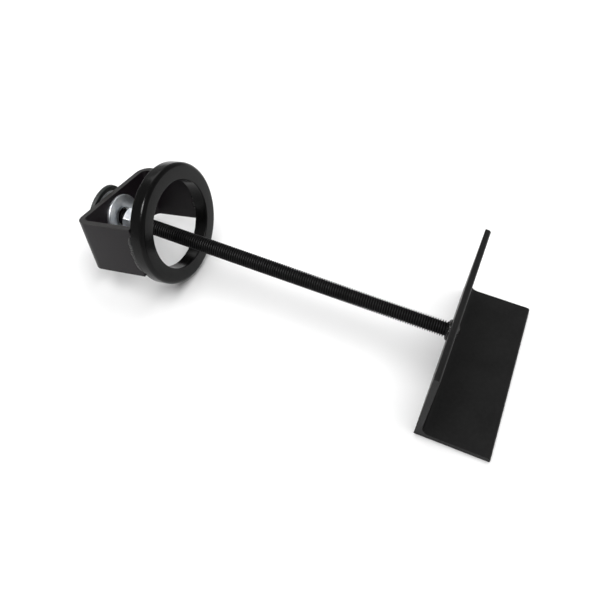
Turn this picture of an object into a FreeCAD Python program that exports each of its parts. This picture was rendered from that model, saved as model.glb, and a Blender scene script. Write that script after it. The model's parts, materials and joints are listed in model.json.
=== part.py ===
import FreeCAD, Part
import math
import os
import Sketcher

# A clamp-style spool holder stand, in millimetres.
#
# A threaded rod is welded square through the upright leg of an angle-iron foot. At its
# other end a U bracket carries a thick clamping ring, and hangs loosely on the rod
# between two washers and two nuts. A spool sits on the rod between the ring and the foot.
#
# Frame: +X runs along the rod from the ring to the foot, +Z is up, and the origin is the
# centre of the foot's underside.

doc = FreeCAD.newDocument("spool_holder_stand")

# ---------------------------------------------------------------------------
# Driving dimensions
# ---------------------------------------------------------------------------

SIZES = {
    # angle-iron foot
    "foot_height": 76.2,
    "foot_width": 57.2,
    "foot_length": 149.0,
    "foot_gauge": 4.76,
    "foot_root_radius": 7.0,
    "foot_toe_radius": 2.4,
    # threaded rod, 1/2 inch, 13 threads to the inch
    "rod_diameter": 12.7,
    "rod_length": 322.5,
    "rod_height": 35.2,
    "rod_chamfer": 1.2,
    "rod_hole": 13.1,
    "rod_weld_leg": 3.2,
    "rod_weld_cap": 2.6,
    "rod_weld_cap_width": 18.0,
    # U bracket, bent from flat bar
    "strap_width": 44.0,
    "strap_gauge": 4.76,
    "strap_hole": 15.875,
    "bracket_span": 93.0,
    "bracket_depth": 54.5,
    "bend_radius": 4.8,
    # clamping ring
    "ring_diameter": 100.0,
    "ring_bore": 73.0,
    "ring_width": 12.0,
    "ring_front_radius": 3.6,
    "ring_edge_radius": 0.8,
    # weld beads between the bracket's legs and the ring
    "bead_leg": 3.0,
    "outer_bead_length": 24.0,
    "inner_bead_length": 34.0,
    # washers
    "inner_washer_diameter": 38.1,
    "inner_washer_hole": 15.875,
    "inner_washer_gauge": 2.8,
    "outer_washer_diameter": 46.0,
    "outer_washer_hole": 12.8,
    "outer_washer_gauge": 3.4,
    "washer_edge_radius": 0.6,
    # thin hexagon nuts
    "nut_flats": 19.05,
    "nut_height": 7.94,
    "nut_bore": 12.8,
    "nut_chamfer": 1.4,
    # how the bracket lies: tipped until the ring rests on the floor, rolled round the rod
    "pivot_reach": 290.4,
    "ring_tilt": 14.9,
    "strap_roll": 8.5,
    "outer_washer_gap": 13.2,
    "inner_nut_gap": 7.0,
    "nut_play": 0.1,
}

sheet = doc.addObject("Spreadsheet::Sheet", "Sizes")
for row, (alias, value) in enumerate(SIZES.items(), start=1):
    sheet.set("A%d" % row, alias)
    sheet.set("B%d" % row, str(value))
    sheet.setAlias("B%d" % row, alias)
doc.recompute()


def size(formula):
    """The number that a formula of sheet aliases gives now."""
    value = sheet.evalExpression(formula)
    return float(getattr(value, "Value", value))


# ---------------------------------------------------------------------------
# Helpers: bodies, sketches and features bound to the sheet
# ---------------------------------------------------------------------------

ZERO = "0 mm"


def s(alias):
    """The sheet reference of one alias."""
    return "Sizes." + alias


def new_body(label):
    body = doc.addObject("PartDesign::Body", label)
    body.Label = label
    return body


def new_sketch(body, name, plane):
    """An empty sketch on one of the body's own origin planes."""
    sketch = body.newObject("Sketcher::SketchObject", name)
    support = [f for f in body.Origin.OriginFeatures if f.Role == plane][0]
    sketch.AttachmentSupport = (support, [""])
    sketch.MapMode = "FlatFace"
    return sketch


def pin_point(sketch, index, end, across, upward):
    """Fix one end of an edge at a place given by two formulas."""
    for kind, formula in (("DistanceX", across), ("DistanceY", upward)):
        value = size(formula)
        number = sketch.addConstraint(Sketcher.Constraint(kind, -1, 1, index, end, value))
        sketch.setExpression("Constraints[%d]" % number, formula)


def add_outline(sketch, corners):
    """A closed outline of straight lines. Each corner is a pair of formulas."""
    places = [FreeCAD.Vector(size(across), size(upward), 0) for across, upward in corners]
    first = sketch.GeometryCount
    for number, place in enumerate(places):
        following = places[(number + 1) % len(places)]
        sketch.addGeometry(Part.LineSegment(place, following), False)
    for number, (across, upward) in enumerate(corners):
        before = first + (number - 1) % len(corners)
        sketch.addConstraint(Sketcher.Constraint("Coincident", before, 2, first + number, 1))
        pin_point(sketch, first + number, 1, across, upward)


def add_circle(sketch, diameter, across=ZERO, upward=ZERO):
    """A circle whose diameter and centre are formulas."""
    centre = FreeCAD.Vector(size(across), size(upward), 0)
    index = sketch.addGeometry(
        Part.Circle(centre, FreeCAD.Vector(0, 0, 1), size(diameter) / 2), False)
    number = sketch.addConstraint(Sketcher.Constraint("Diameter", index, size(diameter)))
    sketch.setExpression("Constraints[%d]" % number, diameter)
    if centre.Length == 0:
        sketch.addConstraint(Sketcher.Constraint("Coincident", index, 3, -1, 1))
    else:
        pin_point(sketch, index, 3, across, upward)


def add_pad(body, sketch, length, midplane=False):
    pad = body.newObject("PartDesign::Pad", sketch.Name + "_pad")
    pad.Profile = sketch
    pad.Midplane = midplane
    pad.setExpression("Length", length)
    doc.recompute()
    return pad


def add_through_cut(body, sketch):
    """A pocket through everything, both ways from the sketch."""
    cut = body.newObject("PartDesign::Pocket", sketch.Name + "_cut")
    cut.Profile = sketch
    cut.Type = 1
    cut.Midplane = True
    doc.recompute()
    return cut


def add_turned(body, sketch, kind="Revolution"):
    """Turn a profile a full circle about its horizontal axis."""
    turned = body.newObject("PartDesign::" + kind, sketch.Name + "_turned")
    turned.Profile = sketch
    turned.ReferenceAxis = (sketch, ["H_Axis"])
    turned.Angle = 360
    doc.recompute()
    return turned


def edges_where(feature, test):
    """Names of the feature's edges whose every sampled point passes the test."""
    names = []
    for number, edge in enumerate(feature.Shape.Edges, start=1):
        if all(test(point) for point in edge.discretize(5)):
            names.append("Edge%d" % number)
    return names


def add_fillet(body, feature, test, radius):
    names = edges_where(feature, test)
    if not names:
        raise RuntimeError("no edge to round on " + body.Label)
    fillet = body.newObject("PartDesign::Fillet", "%s_round_%d" % (body.Name, len(body.Group)))
    fillet.Base = (feature, names)
    fillet.setExpression("Radius", radius)
    doc.recompute()
    return fillet


def near(value, target):
    return abs(value - target) < 1e-4


# ---------------------------------------------------------------------------
# The foot: angle iron, rod and the two welds that hold the rod
# ---------------------------------------------------------------------------

HEEL = "-Sizes.foot_width / 2"


def make_foot_angle():
    """Equal-gauge angle: one leg on the floor, one upright, drilled for the rod."""
    body = new_body("foot_angle")
    profile = new_sketch(body, "angle_profile", "XZ_Plane")
    inner = HEEL + " + Sizes.foot_gauge"
    toe = "Sizes.foot_width / 2"
    add_outline(profile, [
        (HEEL, ZERO),
        (toe, ZERO),
        (toe, s("foot_gauge")),
        (inner, s("foot_gauge")),
        (inner, s("foot_height")),
        (HEEL, s("foot_height")),
    ])
    bar = add_pad(body, profile, s("foot_length"), midplane=True)

    x_inner = size(inner)
    gauge = size(s("foot_gauge"))
    rooted = add_fillet(
        body, bar,
        lambda p: near(p.x, x_inner) and near(p.z, gauge),
        s("foot_root_radius"))
    x_toe = size(toe)
    top = size(s("foot_height"))
    rounded = add_fillet(
        body, rooted,
        lambda p: (near(p.x, x_toe) and near(p.z, gauge)) or (near(p.x, x_inner) and near(p.z, top)),
        s("foot_toe_radius"))

    hole = new_sketch(body, "rod_hole", "YZ_Plane")
    add_circle(hole, s("rod_hole"), ZERO, s("rod_height"))
    before = rounded.Shape.Volume
    drilled = add_through_cut(body, hole)
    if drilled.Shape.Volume > before - 1:
        raise RuntimeError("the rod hole cut nothing")
    return body


def along_rod(body, formula):
    """Place a turned piece on the rod's axis, at a distance along X."""
    body.setExpression("Placement.Base.x", formula)
    body.setExpression("Placement.Base.z", s("rod_height"))


def make_threaded_rod():
    """The rod as its major-diameter cylinder, chamfered at both ends."""
    body = new_body("threaded_rod")
    profile = new_sketch(body, "rod_profile", "XZ_Plane")
    radius = "Sizes.rod_diameter / 2"
    small = radius + " - Sizes.rod_chamfer"
    add_outline(profile, [
        (ZERO, ZERO),
        (s("rod_length"), ZERO),
        (s("rod_length"), small),
        ("Sizes.rod_length - Sizes.rod_chamfer", radius),
        (s("rod_chamfer"), radius),
        (ZERO, small),
    ])
    add_turned(body, profile)
    along_rod(body, HEEL + " + Sizes.foot_gauge - Sizes.rod_length")
    return body


def make_rod_outer_weld():
    """Fillet weld round the rod on the upright leg's outer face."""
    body = new_body("rod_outer_weld")
    profile = new_sketch(body, "collar_profile", "XZ_Plane")
    radius = "Sizes.rod_diameter / 2"
    add_outline(profile, [
        ("-Sizes.rod_weld_leg", radius),
        (ZERO, radius),
        (ZERO, radius + " + Sizes.rod_weld_leg"),
        ("-Sizes.rod_weld_leg * 0.3", radius + " + Sizes.rod_weld_leg * 0.8"),
        ("-Sizes.rod_weld_leg * 0.8", radius + " + Sizes.rod_weld_leg * 0.3"),
    ])
    add_turned(body, profile)
    along_rod(body, HEEL)
    return body


def make_rod_inner_weld():
    """Low domed weld over the rod's end on the upright leg's inner face."""
    body = new_body("rod_inner_weld")
    profile = new_sketch(body, "cap_profile", "XZ_Plane")
    add_outline(profile, [
        (ZERO, ZERO),
        (s("rod_weld_cap"), ZERO),
        (s("rod_weld_cap"), "Sizes.rod_weld_cap_width * 0.2"),
        ("Sizes.rod_weld_cap * 0.75", "Sizes.rod_weld_cap_width * 0.35"),
        (ZERO, "Sizes.rod_weld_cap_width * 0.5"),
    ])
    add_turned(body, profile)
    along_rod(body, HEEL + " + Sizes.foot_gauge")
    return body


# ---------------------------------------------------------------------------
# Washers and nuts, each turned about its own X axis from its own face at x = 0
# ---------------------------------------------------------------------------

def make_washer(label, diameter, hole, gauge):
    """A plain washer with its outer edges eased."""
    body = new_body(label)
    profile = new_sketch(body, label + "_profile", "XZ_Plane")
    add_outline(profile, [
        (ZERO, hole + " / 2"),
        (gauge, hole + " / 2"),
        (gauge, diameter + " / 2"),
        (ZERO, diameter + " / 2"),
    ])
    disc = add_turned(body, profile)
    rim = size(diameter) / 2
    add_fillet(
        body, disc,
        lambda p: near(math.hypot(p.y, p.z), rim) and (near(p.x, 0) or near(p.x, size(gauge))),
        s("washer_edge_radius"))
    return body


def make_nut(label):
    """A thin hexagon nut, chamfered at both faces, bored to the thread's crests."""
    body = new_body(label)
    flats = new_sketch(body, label + "_hexagon", "YZ_Plane")
    corners = []
    for turn in range(6):
        angle = math.radians(60 * turn + 30)
        across = "Sizes.nut_flats / sqrt(3) * %.9f" % math.cos(angle)
        upward = "Sizes.nut_flats / sqrt(3) * %.9f" % math.sin(angle)
        corners.append((across, upward))
    add_outline(flats, corners)
    prism = add_pad(body, flats, s("nut_height"))

    corner = new_sketch(body, label + "_corner", "XZ_Plane")
    flat = "Sizes.nut_flats * 0.485"
    outside = "Sizes.nut_flats * 0.62"
    height = s("nut_height")
    add_outline(corner, [(ZERO, flat), (ZERO, outside), (s("nut_chamfer"), outside)])
    add_outline(corner, [(height, flat), (height, outside), (height + " - Sizes.nut_chamfer", outside)])
    before = prism.Shape.Volume
    eased = add_turned(body, corner, kind="Groove")
    if eased.Shape.Volume > before - 1:
        raise RuntimeError("the nut's chamfers cut nothing")

    bore = new_sketch(body, label + "_bore", "YZ_Plane")
    add_circle(bore, s("nut_bore"))
    add_through_cut(body, bore)
    return body


# ---------------------------------------------------------------------------
# The bracket group. Local frame: x = 0 is the outer face of the bracket's base, the
# hole's axis is local X, the legs stand at local -Y (near) and +Y (far).
# ---------------------------------------------------------------------------

def make_bracket():
    """Flat bar bent to a U, with the rod's hole in its base."""
    body = new_body("bracket")
    profile = new_sketch(body, "bracket_profile", "XY_Plane")
    half = "Sizes.bracket_span / 2"
    inside = half + " - Sizes.strap_gauge"
    depth = s("bracket_depth")
    gauge = s("strap_gauge")
    add_outline(profile, [
        (ZERO, "-" + half),
        (depth, "-" + half),
        (depth, "-(" + inside + ")"),
        (gauge, "-(" + inside + ")"),
        (gauge, inside),
        (depth, inside),
        (depth, half),
        (ZERO, half),
    ])
    strap = add_pad(body, profile, s("strap_width"), midplane=True)

    y_in = size(inside)
    y_out = size(half)
    x_in = size(gauge)
    bent = add_fillet(
        body, strap,
        lambda p: near(p.x, x_in) and near(abs(p.y), y_in),
        s("bend_radius"))
    smooth = add_fillet(
        body, bent,
        lambda p: near(p.x, 0) and near(abs(p.y), y_out),
        "Sizes.bend_radius + Sizes.strap_gauge")

    hole = new_sketch(body, "strap_hole", "YZ_Plane")
    add_circle(hole, s("strap_hole"))
    before = smooth.Shape.Volume
    drilled = add_through_cut(body, hole)
    if drilled.Shape.Volume > before - 1:
        raise RuntimeError("the bracket's hole cut nothing")
    return body


def make_clamp_ring():
    """Thick ring on the ends of the legs, its outer front edge well rounded."""
    body = new_body("clamp_ring")
    profile = new_sketch(body, "ring_profile", "XZ_Plane")
    back = s("bracket_depth")
    front = "Sizes.bracket_depth + Sizes.ring_width"
    add_outline(profile, [
        (back, "Sizes.ring_bore / 2"),
        (front, "Sizes.ring_bore / 2"),
        (front, "Sizes.ring_diameter / 2"),
        (back, "Sizes.ring_diameter / 2"),
    ])
    blank = add_turned(body, profile)
    x_front = size(front)
    x_back = size(back)
    rim = size("Sizes.ring_diameter / 2")
    bore = size("Sizes.ring_bore / 2")

    def radius_of(p):
        return math.hypot(p.y, p.z)

    rounded = add_fillet(
        body, blank,
        lambda p: near(p.x, x_front) and near(radius_of(p), rim),
        s("ring_front_radius"))
    add_fillet(
        body, rounded,
        lambda p: (near(p.x, x_back) and near(radius_of(p), rim))
        or (near(p.x, x_front) and near(radius_of(p), bore)),
        s("ring_edge_radius"))
    return body


def make_bead(label, side, outward):
    """A fillet weld in the corner between one leg and the ring's back face.

    side is -1 for the near leg and +1 for the far one. outward is +1 for the bead on the
    leg's outer face and -1 for the one on its inner face.
    """
    body = new_body(label)
    profile = new_sketch(body, label + "_profile", "XY_Plane")
    wall = "Sizes.bracket_span / 2"
    length = s("outer_bead_length")
    if outward < 0:
        wall = wall + " - Sizes.strap_gauge"
        length = s("inner_bead_length")
    wall = "%d * (%s)" % (side, wall)
    step = "%d * Sizes.bead_leg" % (side * outward)
    back = s("bracket_depth")
    add_outline(profile, [
        (back, wall),
        (back, wall + " + " + step),
        (back + " - Sizes.bead_leg * 0.3", wall + " + " + step + " * 0.8"),
        (back + " - Sizes.bead_leg * 0.8", wall + " + " + step + " * 0.3"),
        (back + " - Sizes.bead_leg", wall),
    ])
    add_pad(body, profile, length, midplane=True)
    return body


def lay_bracket(body):
    """Turn a piece of the bracket group about the pivot into its resting place.

    The pivot is on the rod's axis, halfway through the base and the inner washer.
    """
    pivot = FreeCAD.Vector(
        size(HEEL + " - Sizes.pivot_reach"), 0, size(s("rod_height")))
    middle = FreeCAD.Vector(size("(Sizes.strap_gauge + Sizes.inner_washer_gauge) / 2"), 0, 0)
    tilt = FreeCAD.Rotation(FreeCAD.Vector(0, 1, 0), -size(s("ring_tilt")))
    roll = FreeCAD.Rotation(FreeCAD.Vector(1, 0, 0), -size(s("strap_roll")))
    turn = tilt.multiply(roll)
    body.Placement = FreeCAD.Placement(pivot - turn.multVec(middle), turn)


# ---------------------------------------------------------------------------
# Build every piece and put it in its place
# ---------------------------------------------------------------------------

pieces = [
    make_foot_angle(),
    make_threaded_rod(),
    make_rod_outer_weld(),
    make_rod_inner_weld(),
]

PIVOT = HEEL + " - Sizes.pivot_reach"

outer_washer = make_washer(
    "outer_washer", s("outer_washer_diameter"), s("outer_washer_hole"), s("outer_washer_gauge"))
along_rod(outer_washer, PIVOT + " - Sizes.outer_washer_gap - Sizes.outer_washer_gauge")

outer_nut = make_nut("outer_nut")
along_rod(
    outer_nut,
    PIVOT + " - Sizes.outer_washer_gap - Sizes.outer_washer_gauge"
    " - Sizes.nut_play - Sizes.nut_height")

inner_nut = make_nut("inner_nut")
along_rod(inner_nut, PIVOT + " + Sizes.inner_nut_gap")

pieces += [outer_washer, outer_nut, inner_nut]

bracket_group = [
    make_bracket(),
    make_clamp_ring(),
    make_bead("near_leg_outer_weld", -1, 1),
    make_bead("near_leg_inner_weld", -1, -1),
    make_bead("far_leg_outer_weld", 1, 1),
    make_bead("far_leg_inner_weld", 1, -1),
]
for piece in bracket_group:
    lay_bracket(piece)

# The inner washer lies flat on the inside of the bracket's base.
inner_washer = make_washer(
    "inner_washer", s("inner_washer_diameter"), s("inner_washer_hole"), s("inner_washer_gauge"))
lay_bracket(inner_washer)
lift = FreeCAD.Vector(size(s("strap_gauge")), 0, 0)
inner_washer.Placement = inner_washer.Placement.multiply(
    FreeCAD.Placement(lift, FreeCAD.Rotation()))

pieces += bracket_group + [inner_washer]
doc.recompute()

# ---------------------------------------------------------------------------
# Check, then write one file for each piece
# ---------------------------------------------------------------------------

for item in doc.Objects:
    if "Invalid" in item.State or "Error" in item.State:
        raise RuntimeError("%s did not recompute: %s" % (item.Label, item.State))

os.makedirs("parts", exist_ok=True)
for piece in pieces:
    shape = piece.Shape
    if shape.isNull() or not shape.isValid() or len(shape.Solids) != 1:
        raise RuntimeError(piece.Label + " is not one valid solid")
    shape.exportStep("parts/%s.step" % piece.Label)
    box = shape.BoundBox
    print("%-20s %9.1f mm3  x %.1f..%.1f  y %.1f..%.1f  z %.2f..%.2f" % (
        piece.Label, shape.Volume,
        box.XMin, box.XMax, box.YMin, box.YMax, box.ZMin, box.ZMax))
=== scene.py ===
# %% [markdown]
# # A clamp-style spool holder in Blender
#
# The real thing is plain workshop hardware: a long threaded rod welded to a piece of angle
# iron, and a loose U bracket with a thick ring at the other end. Every size and every joint
# is already settled in a CAD model, which this lesson loads as a fixed frame. What is left
# is what CAD doesn't show: cut threads, weld beads, eased edges, paint, zinc and light.
#
# Everything is in metres, and +X runs along the rod from the ring to the foot, +Z up.

# %% Load the frame and measure it
import json
import math

import bmesh
import bpy
from mathutils import Matrix, Vector, noise


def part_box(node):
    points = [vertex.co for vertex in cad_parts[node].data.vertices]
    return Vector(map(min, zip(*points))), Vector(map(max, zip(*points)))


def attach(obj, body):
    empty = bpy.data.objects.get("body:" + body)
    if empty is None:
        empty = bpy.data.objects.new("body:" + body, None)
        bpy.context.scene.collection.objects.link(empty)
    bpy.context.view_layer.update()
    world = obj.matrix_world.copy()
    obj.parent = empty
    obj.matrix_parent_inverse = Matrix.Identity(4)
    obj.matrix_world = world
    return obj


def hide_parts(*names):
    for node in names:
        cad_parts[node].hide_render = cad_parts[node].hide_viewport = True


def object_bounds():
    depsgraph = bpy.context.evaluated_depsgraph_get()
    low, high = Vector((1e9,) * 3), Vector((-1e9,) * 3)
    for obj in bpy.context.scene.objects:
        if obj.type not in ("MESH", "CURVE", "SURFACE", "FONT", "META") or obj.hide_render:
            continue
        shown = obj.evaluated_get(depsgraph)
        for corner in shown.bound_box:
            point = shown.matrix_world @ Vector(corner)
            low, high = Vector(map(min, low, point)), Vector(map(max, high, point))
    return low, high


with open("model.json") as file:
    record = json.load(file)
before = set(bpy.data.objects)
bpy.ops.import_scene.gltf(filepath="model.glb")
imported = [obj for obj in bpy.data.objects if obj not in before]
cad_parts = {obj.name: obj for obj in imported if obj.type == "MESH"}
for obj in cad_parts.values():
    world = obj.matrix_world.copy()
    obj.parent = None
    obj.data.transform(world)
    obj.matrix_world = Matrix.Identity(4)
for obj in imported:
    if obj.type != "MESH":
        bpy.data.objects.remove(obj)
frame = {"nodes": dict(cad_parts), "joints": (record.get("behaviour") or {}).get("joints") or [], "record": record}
CAD_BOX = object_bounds()
MM = 0.001
print("CAD box, mm:", [[round(value / MM, 1) for value in corner] for corner in CAD_BOX])

# %% [markdown]
# ## Which body and which finish
#
# The imported record says which body each CAD node moves with and which paint slot it has.
# A detailed piece takes over the body from the node that it stands for and is given its
# finish, so one helper can do all of that for every piece, and no body name has to be typed twice.

# %% A helper that lets a piece stand in for a CAD node
BODY_OF = {
    node: body
    for body, nodes in frame["record"]["behaviour"]["bodies"].items()
    for node in nodes
}


def stand_in(piece, node, finish):
    """Paint the piece with the given finish and put it in the CAD node's place, on the same body."""
    piece.data.transform(piece.matrix_world)
    piece.matrix_world = Matrix.Identity(4)
    piece.data.materials.clear()
    piece.data.materials.append(finish)
    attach(piece, BODY_OF[node])
    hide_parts(node)
    print(f"{piece.name}: {len(piece.data.polygons)} faces, rides on {BODY_OF[node]}")


# %% [markdown]
# ## The camera
#
# The view is from above the foot, turned a little towards the ring. A camera looks along
# its own -Z with +Y up, so its three axes are worked out from the look-down angle, the
# heading and a small roll, and they become the columns of its matrix.

# %% The camera
LOOK_DOWN = math.radians(51.94)
HEADING = math.radians(-20.55)
CAMERA_ROLL = math.radians(-3.17)
CAMERA_PLACE = Vector((-0.0335, -0.3149, 0.4369))
LENS = 39.13


def camera_axes(look_down, heading, roll):
    """The camera's right, up and backward directions as the columns of a matrix."""
    flat = math.cos(look_down)
    forward = Vector((math.sin(heading) * flat, math.cos(heading) * flat, -math.sin(look_down)))
    right = Vector((math.cos(heading), -math.sin(heading), 0))
    down = forward.cross(right)
    rolled_right = math.cos(roll) * right + math.sin(roll) * down
    rolled_down = math.cos(roll) * down - math.sin(roll) * right
    return Matrix((rolled_right, -rolled_down, -forward)).transposed().to_4x4()


camera = bpy.data.objects.new("camera", bpy.data.cameras.new("camera"))
bpy.context.scene.collection.objects.link(camera)
camera.data.lens = LENS
camera.data.clip_start = 0.01
camera.matrix_world = Matrix.Translation(CAMERA_PLACE) @ camera_axes(LOOK_DOWN, HEADING, CAMERA_ROLL)
bpy.context.scene.camera = camera
print("camera at", [round(value, 4) for value in camera.location])

# %% [markdown]
# ## Two sets of axes
#
# Most pieces are turned about a line: the washers, nuts and rod about the rod's axis, the
# ring about the bracket's. Each mesh is drawn about its own X axis and then stood in place
# with a matrix. The bracket hangs loosely, tipped until its ring rests on the floor and
# rolled a few degrees round the rod, so its matrix comes from the swivel joint.

# %% Axes of the rod and of the bracket
STRAP_ROLL = math.radians(8.5)


def measured(node, axes):
    """The lowest and highest corners of a CAD node in the given axes."""
    inverse = axes.inverted()
    places = [inverse @ vertex.co for vertex in frame["nodes"][node].data.vertices]
    low = Vector([min(place[axis] for place in places) for axis in range(3)])
    high = Vector([max(place[axis] for place in places) for axis in range(3)])
    return low, high


rod_low, rod_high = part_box("threaded_rod")
ROD_HEIGHT = (rod_low.z + rod_high.z) / 2


def on_rod(x):
    """Axes whose X runs along the rod from a point at x."""
    return Matrix.Translation((x, 0, ROD_HEIGHT))


swivel = next(joint for joint in frame["joints"] if joint["name"] == "bracket_swivel")
tip = math.atan2(swivel["axis"][2], swivel["axis"][0])
leaning = Matrix.Rotation(-tip, 4, "Y") @ Matrix.Rotation(-STRAP_ROLL, 4, "X")
about_pivot = Matrix.Translation(swivel["pos_m"]) @ leaning
base_face = measured("bracket", about_pivot)[0].x
BRACKET_AXES = about_pivot @ Matrix.Translation((base_face, 0, 0))

strap_low, strap_high = measured("bracket", BRACKET_AXES)
ring_low, ring_high = measured("clamp_ring", BRACKET_AXES)
print("bracket in its own axes, mm:", [round(value / MM, 2) for value in (*strap_low, *strap_high)])

# %% [markdown]
# ## Drawing solids from sections
#
# Nearly all of this hardware is one outline carried along a path. Rolled angle and flat bar
# follow a straight path, turned parts go round a circle, and a weld bead goes along a seam
# with an outline that swells and shrinks. One helper joins neighbouring sections with
# faces, and either closes the loop or caps both ends, so it makes all of them.

# %% Sections, outlines and objects
def swept(sections, closed=False):
    """A skin over matching sections: a loop if closed, else with both ends capped."""
    bm = bmesh.new()
    rows = [[bm.verts.new(point) for point in section] for section in sections]
    pairs = list(zip(rows, rows[1:]))
    if closed:
        pairs.append((rows[-1], rows[0]))
    else:
        bm.faces.new(rows[0])
        bm.faces.new(rows[-1])
    for row, following in pairs:
        for number in range(len(row)):
            bm.faces.new((row[number - 1], row[number], following[number], following[number - 1]))
    return bm


def rounded(corners, steps=8):
    """An outline through corners given as (across, up, radius), with an arc at each corner."""
    outline = []
    for number, (across, up, radius) in enumerate(corners):
        here = Vector((across, up))
        back = (Vector(corners[number - 1][:2]) - here).normalized()
        onward = (Vector(corners[(number + 1) % len(corners)][:2]) - here).normalized()
        half = back.angle(onward) / 2
        middle = here + (back + onward).normalized() * radius / math.sin(half)
        start = here + back * radius / math.tan(half) - middle
        end = here + onward * radius / math.tan(half) - middle
        for step in range(steps + 1):
            outline.append(middle + start.slerp(end, step / steps).normalized() * radius)
    return outline


def as_object(bm, name, axes, sharp=38):
    """An object from a bmesh, stood in the given axes, smooth except across sharp edges."""
    bmesh.ops.remove_doubles(bm, verts=bm.verts, dist=1e-7)
    bmesh.ops.recalc_face_normals(bm, faces=bm.faces)
    mesh = bpy.data.meshes.new(name)
    bm.to_mesh(mesh)
    bm.free()
    mesh.shade_smooth()
    mesh.set_sharp_from_angle(angle=math.radians(sharp))
    piece = bpy.data.objects.new(name, mesh)
    bpy.context.scene.collection.objects.link(piece)
    piece.matrix_world = axes
    return piece


def about_x(profile, turns=128):
    """Sections of a profile of (x, radius) points turned about the X axis."""
    for step in range(turns):
        angle = math.tau * step / turns
        yield [(x, radius * math.cos(angle), radius * math.sin(angle)) for x, radius in profile]


square = [(0, 0, 1), (9, 0, 1), (9, 9, 1), (0, 9, 1)]
print("a square with rounded corners has", len(rounded(square)), "points")

# %% [markdown]
# ## Holes and eased edges
#
# Drilled holes are cut with a boolean, and sheared or sawn edges are eased with a bevel
# that only touches real corners. Both are modifiers, and both are settled into the mesh at
# once, so the mesh that is seen is the mesh that is kept.

# %% Drilling and easing
def settled(piece):
    """Replace the mesh by what the modifiers make of it."""
    graph = bpy.context.evaluated_depsgraph_get()
    mesh = bpy.data.meshes.new_from_object(piece.evaluated_get(graph))
    piece.modifiers.clear()
    piece.data = mesh


def drilled(piece, axes, radius, reach):
    """Cut a round hole along the X of the given axes."""
    circle = [(radius, math.tau * step / 96) for step in range(96)]
    sections = [[(x, r * math.cos(a), r * math.sin(a)) for r, a in circle] for x in (-reach, reach)]
    cutter = as_object(swept(sections), "cutter", axes)
    cut = piece.modifiers.new("hole", "BOOLEAN")
    cut.operation = "DIFFERENCE"
    cut.object = cutter
    bpy.context.view_layer.update()
    settled(piece)
    bpy.data.objects.remove(cutter)


def eased(piece, width, segments=2):
    """Round every real corner of the piece by a small width."""
    bevel = piece.modifiers.new("edges", "BEVEL")
    bevel.width = width
    bevel.segments = segments
    bevel.limit_method = "ANGLE"
    bevel.angle_limit = math.radians(40)
    bevel.harden_normals = True
    settled(piece)


# %% [markdown]
# ## Shader maths as Python
#
# A material here is a short sum: a few noises, masks and mixes that end in a paint's
# colour, roughness and bump. The class below wraps one output socket, so that adding or
# multiplying wires adds the Math nodes. Colours and vectors can't go through Math nodes,
# and they have their own methods. Everything else comes from `node`.

# %% Wire: a shader socket to calculate with
class Wire:
    """One output socket of a shader node."""

    def __init__(self, tree, socket):
        self.tree = tree
        self.socket = socket

    def node(self, kind, settings, sockets, output=0):
        """Add any node: settings first, then values or wires for its sockets."""
        made = self.tree.nodes.new("ShaderNode" + kind)
        for name, value in settings.items():
            setattr(made, name, value)
        for key, value in sockets.items():
            if isinstance(value, Wire):
                self.tree.links.new(value.socket, made.inputs[key])
            else:
                made.inputs[key].default_value = value
        return Wire(self.tree, made.outputs[output])

    def maths(self, operation, first, second):
        return self.node("Math", {"operation": operation}, {0: first, 1: second})

    def __add__(self, other):
        return self.maths("ADD", self, other)

    def __sub__(self, other):
        return self.maths("SUBTRACT", self, other)

    def __rsub__(self, other):
        return self.maths("SUBTRACT", other, self)

    def __mul__(self, other):
        return self.maths("MULTIPLY", self, other)

    __radd__ = __add__
    __rmul__ = __mul__

    def rise(self, low, high):
        """A soft step: 0 below low, 1 above high. With low above high it falls instead."""
        ends = {"Value": self, "From Min": low, "From Max": high}
        return self.node("MapRange", {"interpolation_type": "SMOOTHSTEP"}, ends)

    def tint(self, dark, light):
        """A colour from dark at 0 to light at 1. Either may be a colour or another wire."""
        colours = {0: self, 6: rgba(dark), 7: rgba(light)}
        return self.node("Mix", {"data_type": "RGBA"}, colours, 2)

    def stretched(self, x, y, z):
        """A vector multiplied along each axis."""
        return self.node("VectorMath", {"operation": "MULTIPLY"}, {0: self, 1: (x, y, z)})

    def part(self, axis):
        """One component of a vector: 0, 1 or 2 for X, Y or Z."""
        return self.node("SeparateXYZ", {}, {0: self}, axis)

    def length(self):
        return self.node("VectorMath", {"operation": "LENGTH"}, {0: self}, "Value")

    def cloud(self, size, detail=3, roughness=0.5):
        """Soft noise, 0 to 1, with features of this size in the vector's own unit."""
        look = {"Vector": self, "Scale": 1 / size, "Detail": detail, "Roughness": roughness}
        return self.node("TexNoise", {}, look, "Fac")


def rgba(colour):
    """A grey or an RGB triple as RGBA; wires pass through."""
    if isinstance(colour, Wire):
        return colour
    if isinstance(colour, (int, float)):
        colour = (colour, colour, colour)
    return (*colour, 1)


# %% [markdown]
# A finish starts from the piece's own coordinates, so that it sticks to the piece when a
# joint moves it. A Mapping node turns them into millimetres along the axes that the piece
# was drawn in, which lets every size below be read as one on the real object. A finish
# ends in one Principled shader: what varies goes in by a wire, and what is constant is set
# on the shader's own socket.

# %% Starting and ending a finish
def new_finish(name, axes):
    """A node material, and a wire with coordinates in millimetres along the given axes."""
    material = bpy.data.materials.new(name)
    material.use_nodes = True
    tree = material.node_tree
    tree.nodes.clear()
    own = Wire(tree, tree.nodes.new("ShaderNodeTexCoord").outputs["Object"])
    place = own.node("Mapping", {"vector_type": "TEXTURE"}, {
        "Vector": own,
        "Location": axes.translation,
        "Rotation": axes.to_euler(),
        "Scale": (MM, MM, MM),
    })
    return material, place


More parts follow.
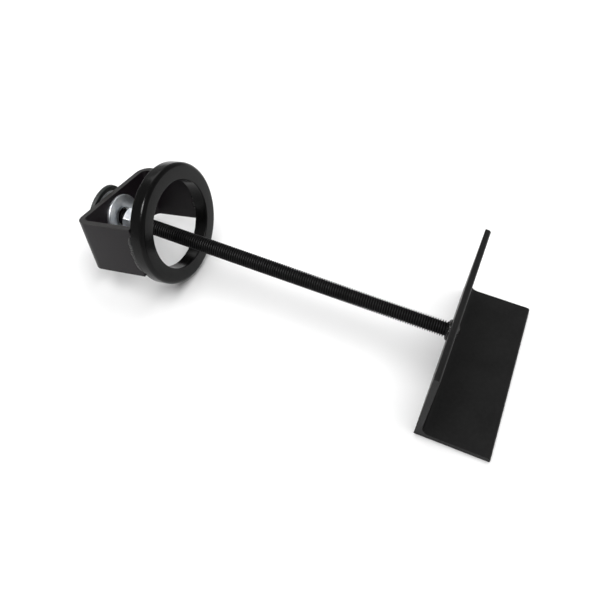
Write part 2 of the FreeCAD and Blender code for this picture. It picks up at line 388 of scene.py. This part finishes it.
def end_finish(place, height, bump_depth, looks):
    """The Principled shader, with a bump of this depth in millimetres from the height wire."""
    ends = {"Height": height, "Distance": bump_depth * MM, "Strength": 1.0}
    bump = place.node("Bump", {}, ends)
    shader = place.node("BsdfPrincipled", {}, {**looks, "Normal": bump})
    output = place.tree.nodes.new("ShaderNodeOutputMaterial")
    place.tree.links.new(shader.socket, output.inputs["Surface"])


# %% [markdown]
# ## Black paint
#
# Sprayed satin black over hot-rolled steel isn't one colour. The coat is thicker in some
# places than in others, which changes its gloss over centimetres. It has an orange-peel
# skin at about a millimetre, and the rolled surface below shows through as shallow pits.
# Here and there a speck of dust or primer is pale. The same sum makes every black piece,
# with its own tone, gloss and roughness. Nearly all that is seen of such a paint is what it
# mirrors, so its shine matters more than its colour.

# %% A family of black paints
FLOOR_AXES = Matrix.Identity(4)


def black_paint(name, dark, light, gloss, shine, texture=1.0, specks=0.0, axes=FLOOR_AXES, edge_wear_and_highlight=None):
    """Satin paint. gloss is the roughness range; the edge mask function lightens the colour where it is: part
    rubbed paint, part painted highlight.
    """
    material, place = new_finish(name, axes)
    coat = place.cloud(26, 3)
    skin = place.cloud(0.9, 2)
    mottle = place.cloud(2.6, 4, 0.6)
    pits = place.cloud(6.5, 5, 0.62)
    shade = mottle.rise(0.35, 0.7) * 0.55 + coat.rise(0.35, 0.65) * 0.45
    colour = shade.tint(dark, light)
    roughness = coat * 0.3 + mottle * 0.35 + skin * 0.35
    roughness = roughness.rise(0.3, 0.7) * (gloss[1] - gloss[0]) + gloss[0]
    if edge_wear_and_highlight:
        # Lighter where the mask is: partly worn paint, partly a painted highlight.
        wear_and_highlight = edge_wear_and_highlight(place) * (0.45 + mottle * 0.9)
        colour = wear_and_highlight.tint(colour, (0.020, 0.0195, 0.019))
    if specks:
        cell = {"Vector": place, "Scale": 1 / 17, "Randomness": 1.0}
        spots = place.node("TexVoronoi", {}, cell, "Distance")
        ragged = spots + place.cloud(0.5, 2) * 0.02
        speck = ragged.rise(specks, specks * 0.55)
        colour = speck.tint(colour, (0.30, 0.29, 0.27))
    height = skin * 0.35 + pits * 0.9 + mottle * 0.3
    end_finish(place, height, 0.05 * texture, {
        "Base Color": colour, "Roughness": roughness, "Specular IOR Level": shine})
    print(name, "has", len(material.node_tree.nodes), "nodes")
    return material


def strap_top_wear_and_highlight(place):
    """The bar's upper edge, painted lighter: partly rubbed paint, partly a painted highlight where light falls on
    it.
    """
    edge = strap_high.z / MM
    return place.part(2).rise(edge - 0.9, edge - 0.2)


IRON_PAINT = black_paint(
    "iron_paint", 0.0075, 0.0110, (0.36, 0.50), 0.15, texture=1.2, specks=0.031)
# The bracket's upper edge is painted lighter: partly rubbed paint, partly a painted highlight.
STRAP_PAINT = black_paint(
    "strap_paint", (0.0048, 0.0033, 0.0045), (0.0080, 0.0057, 0.0075), (0.30, 0.42), 0.19,
    texture=0.8, axes=BRACKET_AXES, edge_wear_and_highlight=strap_top_wear_and_highlight)
RING_PAINT = black_paint(
    "ring_paint", 0.0020, 0.0040, (0.17, 0.25), 0.14, texture=0.45, axes=BRACKET_AXES)
BEAD_PAINT = black_paint("bead_paint", 0.0020, 0.0050, (0.18, 0.34), 0.26, texture=1.6)

# %% [markdown]
# ## The rod's paint and the zinc
#
# On the rod the paint is thin and smooth on the crests, which hands and nuts rub, and dull in
# the valleys. Distance from the rod's axis tells the two apart. The crests are painted lighter
# in patches, partly as rubbed paint and partly as a painted highlight. Zinc plate is a bright
# bluish metal, cloudy over a few millimetres, with fine marks left by stamping or turning. The
# back washer's rim is dark, as if it had caught the black spray, so its plate ends at a radius.
# The other zinc has that radius far outside it, and stays bright all over.

# %% Rod paint and zinc
rod_radius = (rod_high.z - rod_low.z) / 2


def rod_paint():
    material, place = new_finish("rod_paint", on_rod(0))
    crest = place.stretched(0, 1, 1).length().rise(rod_radius / MM - 0.5, rod_radius / MM - 0.05)
    patch = place.cloud(7, 4, 0.6)
    fine = place.cloud(0.7, 3)
    # Crests lighter in patches: partly rubbed paint, partly a painted highlight.
    wear_and_highlight = crest * patch.rise(0.3, 0.65)
    colour = wear_and_highlight.tint(0.0008, (0.0085, 0.0085, 0.0095))
    roughness = 0.78 + fine * 0.10 - crest * 0.36
    end_finish(place, fine + patch * 0.4, 0.03, {
        "Base Color": colour, "Roughness": roughness, "Specular IOR Level": 0.18})
    return material


def zinc(name, grain, axes, painted_from):
    """Bright plate with round-and-round marks, under black overspray beyond a radius."""
    material, place = new_finish(name, axes)
    blotch = place.cloud(5.5, 4, 0.6)
    fine = place.cloud(0.45, 3)
    radial = place.stretched(0, 1, 1).length()
    rings = radial.node("CombineXYZ", {}, {0: radial, 1: blotch * 0.4}).cloud(0.33, 2)
    painted = (radial + blotch * 0.8).rise(painted_from, painted_from + 0.7)
    bright = blotch.rise(0.3, 0.7).tint((0.70, 0.74, 0.78), (0.90, 0.92, 0.94))
    colour = painted.tint(bright, (0.006, 0.008, 0.007))
    roughness = 0.24 + blotch * 0.16 + fine * 0.10 + painted * 0.20
    end_finish(place, rings * grain + fine * 0.4, 0.02, {
        "Base Color": colour, "Roughness": roughness, "Metallic": 1 - painted})
    return material


UNPAINTED = 60
ROD_PAINT = rod_paint()
BACK_ZINC = zinc("back_zinc", 0.5, on_rod(0), 19.0)
FRONT_ZINC = zinc("front_zinc", 0.5, BRACKET_AXES, UNPAINTED)
NUT_ZINC = zinc("nut_zinc", 1.0, on_rod(0), UNPAINTED)

# %% [markdown]
# ## The foot: angle iron
#
# Hot-rolled angle has a sharp heel, rounded toes and a fillet in its root, and its ends are
# sawn square. The outline is drawn once, looking along the bar, and carried from end to
# end. The rod's hole goes through the upright leg before the edges are eased, so its rim is
# eased as well.

# %% The angle iron
heel, top_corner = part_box("foot_angle")
GAUGE = 4.76 * MM
ROOT_RADIUS = 7.0 * MM
TOE_RADIUS = 2.4 * MM
HEEL_RADIUS = 0.7 * MM
HOLE_RADIUS = 6.55 * MM

angle_outline = rounded([
    (heel.x, 0, HEEL_RADIUS),
    (top_corner.x, 0, HEEL_RADIUS),
    (top_corner.x, GAUGE, TOE_RADIUS),
    (heel.x + GAUGE, GAUGE, ROOT_RADIUS),
    (heel.x + GAUGE, top_corner.z, TOE_RADIUS),
    (heel.x, top_corner.z, HEEL_RADIUS),
])
angle_ends = [[(x, y, z) for x, z in angle_outline] for y in (heel.y, top_corner.y)]
angle_iron = as_object(swept(angle_ends), "angle_iron", Matrix.Identity(4))
drilled(angle_iron, on_rod(heel.x), HOLE_RADIUS, 3 * GAUGE)
eased(angle_iron, 0.35 * MM)
stand_in(angle_iron, "foot_angle", IRON_PAINT)

# %% [markdown]
# ## The rod: a real helical thread
#
# A bump map can't give a thread its toothed outline, so the thread is real geometry. The
# rod is taken for a 1/2 inch one, which has 13 threads to the inch. That is an assumption,
# and the scale of the whole object rests on it. One ribbon with the thread's trapezium for
# a profile winds along the rod, and its last edge meets its own first edge one turn later.
# It is wound a turn too long at both ends and then cut square. Its flanks are drawn steeper
# and its roots a little deeper than on a real 60 degree thread, so that the valleys still
# read as dark lines from a distance. In the last millimetres before the foot its depth
# fades out, as if paint and spatter had filled it. That is a guess too.

# %% The threaded rod
PITCH = 25.4 * MM / 13
THREAD_DEPTH = 0.66 * PITCH
CREST = PITCH * 0.26
FLANK = PITCH * 0.15
STEPS = 56
END_CHAMFER = 1.2 * MM
FILLED_FROM = 6.0 * MM
FILLED_BY = 3.5 * MM
FILLED_DEPTH = 0.12


def thread_ribbon(length, radius):
    """Rows of a right-hand thread: crest, flank, root, flank, as an open-ended bmesh."""
    bm = bmesh.new()
    profile = [(-CREST / 2, 0), (CREST / 2, 0), (CREST / 2 + FLANK, 1), (PITCH - CREST / 2 - FLANK, 1)]
    count = int((length / PITCH + 2) * STEPS)
    rows = []
    for step in range(-STEPS, count):
        angle = math.tau * step / STEPS
        row = []
        for offset, sunk in profile:
            x = PITCH * step / STEPS + offset
            filled = (length - x - FILLED_BY) / (FILLED_FROM - FILLED_BY)
            depth = THREAD_DEPTH * min(1, max(FILLED_DEPTH, filled))
            from_end = max(0, min(x, length - x))
            r = min(radius - depth * sunk, radius - END_CHAMFER + from_end)
            row.append(bm.verts.new((x, r * math.cos(angle), r * math.sin(angle))))
        rows.append(row)
    for row, following in zip(rows, rows[1:]):
        for number in range(3):
            bm.faces.new((row[number], following[number], following[number + 1], row[number + 1]))
    for step in range(len(rows) - STEPS - 1):
        near, beyond = rows[step + STEPS], rows[step + STEPS + 1]
        bm.faces.new((rows[step][3], rows[step + 1][3], beyond[0], near[0]))
    return bm


def cut_square(bm, x, outward):
    """Cut a bmesh off at x, remove what is outside, and close the cut."""
    everything = bm.verts[:] + bm.edges[:] + bm.faces[:]
    cut = bmesh.ops.bisect_plane(
        bm, geom=everything, plane_co=(x, 0, 0), plane_no=(outward, 0, 0), clear_outer=True)
    rim = [item for item in cut["geom_cut"] if isinstance(item, bmesh.types.BMEdge)]
    bmesh.ops.contextual_create(bm, geom=rim)


rod_length = rod_high.x - rod_low.x
ribbon = thread_ribbon(rod_length, rod_radius)
cut_square(ribbon, 0.0, -1)
cut_square(ribbon, rod_length, 1)
screw_rod = as_object(ribbon, "screw_rod", on_rod(rod_low.x), sharp=25)
stand_in(screw_rod, "threaded_rod", ROD_PAINT)

# %% [markdown]
# ## Welds
#
# A hand-laid bead is a row of small overlapping puddles, so its section swells and shrinks
# every millimetre or two, and wanders a little. The same noise drives all of them: the
# collar round the rod, the low dome over the rod's end, and the four fillets between the
# bracket and the ring. Blender's noise gives the same value for the same place each time.

# %% The two welds on the rod
RIPPLE = 1.7 * MM
SUNK = 0.3 * MM
COLLAR_TRIM = 0.9 * MM


def puddle(along, seed):
    """How full a bead is at a place along it: about 1, rippled and uneven."""
    drift = noise.noise(Vector((along / (4 * MM), seed, 0)))
    wave = math.cos(math.tau * along / RIPPLE + 2 * drift)
    return 0.92 + 0.05 * wave + 0.16 * drift


def collar(radius, leg, turns=144):
    """Sections of a fillet weld that goes round a rod."""
    for step in range(turns):
        angle = math.tau * step / turns
        full = leg * puddle(radius * angle, 3.7) * (1 + 0.08 * math.cos(angle))
        profile = [(SUNK, -2 * SUNK), (-full, -2 * SUNK)]
        for part in range(7):
            turn = math.pi / 2 * part / 6
            profile.append((-full * math.cos(turn), full * math.sin(turn)))
        profile.append((SUNK, full))
        around = [(x, radius + out) for x, out in profile]
        yield [(x, r * math.cos(angle), r * math.sin(angle)) for x, r in around]


def dome(radius, rise, rings=14, turns=96):
    """Sections of a low lumpy mound of weld, from its rim to its middle."""
    for ring in range(rings + 1):
        share = 1 - ring / (rings + 0.5)
        section = []
        for step in range(turns):
            angle = math.tau * step / turns
            across, up = math.cos(angle), math.sin(angle)
            place = Vector((across, up, 0)) * share * radius
            lump = noise.noise(place / (3.2 * MM)) * 0.3 + 0.08 * math.cos(share * 22)
            height = rise * (1 - share ** 2.4) * (0.80 + lump * min(1, 4 * share))
            if ring == 0:
                height -= SUNK
            out = radius * share * (1 + 0.05 * noise.noise(Vector((2 * across, 2 * up, 9))))
            section.append((height, out * across, out * up))
        yield section


collar_low, collar_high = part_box("rod_outer_weld")
dome_low, dome_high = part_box("rod_inner_weld")
collar_leg = collar_high.x - collar_low.x - COLLAR_TRIM
rod_collar_weld = as_object(
    swept(collar(rod_radius, collar_leg), closed=True),
    "rod_collar_weld", on_rod(collar_high.x), sharp=60)
stand_in(rod_collar_weld, "rod_outer_weld", BEAD_PAINT)
rod_end_weld = as_object(
    swept(dome((dome_high.z - dome_low.z) / 2, dome_high.x - dome_low.x)),
    "rod_end_weld", on_rod(dome_low.x), sharp=60)
stand_in(rod_end_weld, "rod_inner_weld", BEAD_PAINT)

# %% [markdown]
# ## Washers and nuts
#
# A stamped washer has one face with rolled-over edges, from the punch, and a sharper one
# behind. A hexagon nut is turned as well, in a way: at each angle its radius is the
# distance to the flat, and the 30 degree chamfer cuts deeper where that radius is larger,
# which draws the curved edges that every nut has. Its corners are a touch blunt.

# %% Washers
def washer(node, name, axes, finish):
    """A stamped washer the size of its CAD node, rolled-over edges towards +X."""
    low, high = measured(node, axes)
    gauge = high.x - low.x
    hole = min(
        math.hypot(place.y, place.z)
        for place in (axes.inverted() @ vertex.co for vertex in frame["nodes"][node].data.vertices))
    profile = rounded([
        (0, hole, 0.25 * MM),
        (0, high.y, 0.30 * MM),
        (gauge, high.y, 0.85 * MM),
        (gauge, hole, 0.60 * MM),
    ], steps=5)
    place = axes @ Matrix.Translation((low.x, 0, 0))
    disc = as_object(swept(about_x(profile), closed=True), name, place)
    stand_in(disc, node, finish)
    print(f"  {2 * high.y / MM:.1f} mm across, hole {2 * hole / MM:.2f} mm, {gauge / MM:.2f} mm thick")


washer("outer_washer", "back_washer", on_rod(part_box("outer_washer")[0].x), BACK_ZINC)
washer("inner_washer", "front_washer", BRACKET_AXES, FRONT_ZINC)

# %% Hexagon nuts
NUT_FLATS = 19.05 * MM
NUT_BORE = 6.42 * MM
COUNTERSINK = 0.7 * MM
NUT_TURN = math.radians(105)
FACE_SHARE = 0.965
CORNER_SHARE = 1.142


def hexagon(height, turns=180):
    """Sections of a nut turned about X, chamfered at both faces."""
    flat = NUT_FLATS / 2
    face = flat * FACE_SHARE
    for step in range(turns):
        angle = math.tau * step / turns
        off_flat = (angle + math.pi / 6) % (math.pi / 3) - math.pi / 6
        side = min(flat / math.cos(off_flat), flat * CORNER_SHARE)
        cut = (side - face) * math.tan(math.pi / 6)
        profile = [
            (COUNTERSINK, NUT_BORE), (0, NUT_BORE + COUNTERSINK), (0, face), (cut, side),
            (height - cut, side), (height, face), (height, NUT_BORE + COUNTERSINK),
            (height - COUNTERSINK, NUT_BORE),
        ]
        yield [(x, radius * math.cos(angle), radius * math.sin(angle)) for x, radius in profile]


for node, name in (("outer_nut", "back_nut"), ("inner_nut", "front_nut")):
    low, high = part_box(node)
    nut = as_object(
        swept(hexagon(high.x - low.x), closed=True), name,
        on_rod(low.x) @ Matrix.Rotation(NUT_TURN, 4, "X"), sharp=20)
    stand_in(nut, node, NUT_ZINC)

# %% [markdown]
# ## The bracket
#
# The U is bent from flat bar. A real bend thins the bar a little, but here it keeps its
# full thickness: the outer radius is the inner one plus the gauge. It is drawn flat, carried
# across the bar's width, drilled for the rod, and its sheared edges are eased.

# %% The U bracket
STRAP_GAUGE = 4.76 * MM
BEND = 4.8 * MM
STRAP_HOLE = 7.94 * MM
depth = strap_high.x
half_span = strap_high.y
inside = half_span - STRAP_GAUGE

strap_outline = rounded([
    (0, -half_span, BEND + STRAP_GAUGE),
    (depth, -half_span, 0.05 * MM),
    (depth, -inside, 0.05 * MM),
    (STRAP_GAUGE, -inside, BEND),
    (STRAP_GAUGE, inside, BEND),
    (depth, inside, 0.05 * MM),
    (depth, half_span, 0.05 * MM),
    (0, half_span, BEND + STRAP_GAUGE),
], steps=12)
strap_edges = [[(x, y, z) for x, y in strap_outline] for z in (strap_low.z, strap_high.z)]
clamp_strap = as_object(swept(strap_edges), "clamp_strap", BRACKET_AXES)
drilled(clamp_strap, BRACKET_AXES, STRAP_HOLE, 3 * STRAP_GAUGE)
eased(clamp_strap, 0.55 * MM, segments=3)
stand_in(clamp_strap, "bracket", STRAP_PAINT)

# %% [markdown]
# ## The ring
#
# The ring is probably turned from thick plate or pipe. Its outer front edge has a large
# radius, which is where the long highlight sits, and its other edges are only broken.

# %% The clamping ring
ring_outer = ring_high.y
ring_bore = 36.5 * MM
ring_profile = rounded([
    (ring_low.x, ring_bore, 0.5 * MM),
    (ring_low.x, ring_outer, 0.8 * MM),
    (ring_high.x, ring_outer, 3.6 * MM),
    (ring_high.x, ring_bore, 0.9 * MM),
], steps=10)
clamp_hoop = as_object(swept(about_x(ring_profile, 192), closed=True), "clamp_hoop", BRACKET_AXES)
stand_in(clamp_hoop, "clamp_ring", RING_PAINT)

# %% [markdown]
# ## The beads between bracket and ring
#
# Each leg meets the ring's back face in two corners, one outside and one inside, and each
# corner has a fillet. Outside, the ring's rim falls away from the leg as the bead runs
# towards the bar's edges, so the bead gets narrower with it.

# %% Four fillet beads
BEAD_LEG = 5.0 * MM
BEAD_SPREAD = 0.56
DIP = 0.2 * MM


def fillet(wall, out, length, leg, seed):
    """Sections of a bead along Z, in the corner of a wall at y and the ring's back face.

    The bead dips a little into both, and its far ends close."""
    count = int(length / (0.3 * MM))
    for step in range(count + 1):
        share = 2 * step / count - 1
        z = share * length / 2
        closing = max(0.08, 1 - abs(share) ** 5)
        full = leg * puddle(z, seed) * closing
        ledge = math.sqrt(ring_outer ** 2 - z ** 2) - abs(wall)
        width = full * BEAD_SPREAD
        if out * wall > 0:
            width = max(0.4 * MM, min(width, ledge))
        section = [(depth + DIP, wall - out * DIP, z), (depth - full, wall - out * DIP, z)]
        for part in range(8):
            angle = math.pi / 2 * part / 7
            section.append((depth - full * math.cos(angle), wall + out * width * math.sin(angle), z))
        section.append((depth + DIP, wall + out * width, z))
        yield section


for node, name, wall, out, length, seed in (
    ("near_leg_outer_weld", "near_outer_bead", -half_span, -1, 34 * MM, 1.3),
    ("near_leg_inner_weld", "near_inner_bead", -inside, 1, 34 * MM, 5.1),
    ("far_leg_outer_weld", "far_outer_bead", half_span, 1, 30 * MM, 8.9),
    ("far_leg_inner_weld", "far_inner_bead", inside, -1, 34 * MM, 12.4),
):
    sections = fillet(wall, out, length, BEAD_LEG, seed)
    fillet_bead = as_object(swept(sections), name, BRACKET_AXES, sharp=60)
    stand_in(fillet_bead, node, BEAD_PAINT)

# %% [markdown]
# ## Floor and light
#
# The object lies on a white floor under soft studio light. One wide panel overhead lights
# the floor and leaves faint, soft shadows, but it isn't seen in mirroring surfaces, since
# its reflection would turn black paint grey. Two smaller panels do the opposite: they light
# nothing, and they are only seen as reflections. The window brightens the zinc and the
# edges that face up, and the streak draws the long highlight on the ring. The sky is pale
# at the horizon and dimmer above, and the black paint mirrors that gradient as well.

# %% The floor
def floor_finish():
    material, place = new_finish("floor_white", FLOOR_AXES)
    grain = place.cloud(60, 3)
    colour = grain.tint(0.86, 0.88)
    end_finish(place, grain, 0.02, {"Base Color": colour, "Roughness": 0.85 + grain * 0.1})
    return material


FLOOR_HALF = 4.0
FLOOR_DROP = 0.1 * MM
floor_bm = bmesh.new()
bmesh.ops.create_grid(floor_bm, x_segments=8, y_segments=8, size=FLOOR_HALF)
floor = as_object(floor_bm, "floor", Matrix.Translation((0, 0, CAD_BOX[0].z - FLOOR_DROP)))
floor.data.materials.append(floor_finish())

# %% Panels of light
MIDDLE = (CAD_BOX[0] + CAD_BOX[1]) / 2


def panel(name, towards, distance, size, power, mirrored):
    """A rectangular light, seen either only in mirroring surfaces or never in them."""
    data = bpy.data.lights.new(name, "AREA")
    data.shape = "RECTANGLE"
    data.size, data.size_y = size
    data.energy = power
    light = bpy.data.objects.new(name, data)
    direction = Vector(towards).normalized()
    light.location = MIDDLE + direction * distance
    light.rotation_euler = direction.to_track_quat("Z", "Y").to_euler()
    light.visible_glossy = mirrored
    light.visible_diffuse = not mirrored
    bpy.context.scene.collection.objects.link(light)


panel("overhead", (-0.06, 0.10, 1.0), 1.6, (2.4, 2.4), 52, mirrored=False)
panel("window", (-0.57, 0.51, 0.64), 1.27, (0.6, 0.6), 2.1, mirrored=True)
panel("streak", (-0.34, -0.43, 0.84), 1.04, (0.42, 0.26), 12.0, mirrored=True)

# %% The sky
world = bpy.data.worlds.new("studio")
world.use_nodes = True
world.node_tree.nodes.clear()
sky_place = world.node_tree.nodes.new("ShaderNodeTexCoord")
height = Wire(world.node_tree, sky_place.outputs["Generated"]).part(2)
sky = height.rise(0.05, 0.6).tint(0.50, 0.26)
background = height.node("Background", {}, {"Color": sky, "Strength": 1.0})
sky_output = world.node_tree.nodes.new("ShaderNodeOutputWorld")
world.node_tree.links.new(background.socket, sky_output.inputs["Surface"])
bpy.context.scene.world = world
bpy.context.scene.view_settings.view_transform = "Standard"
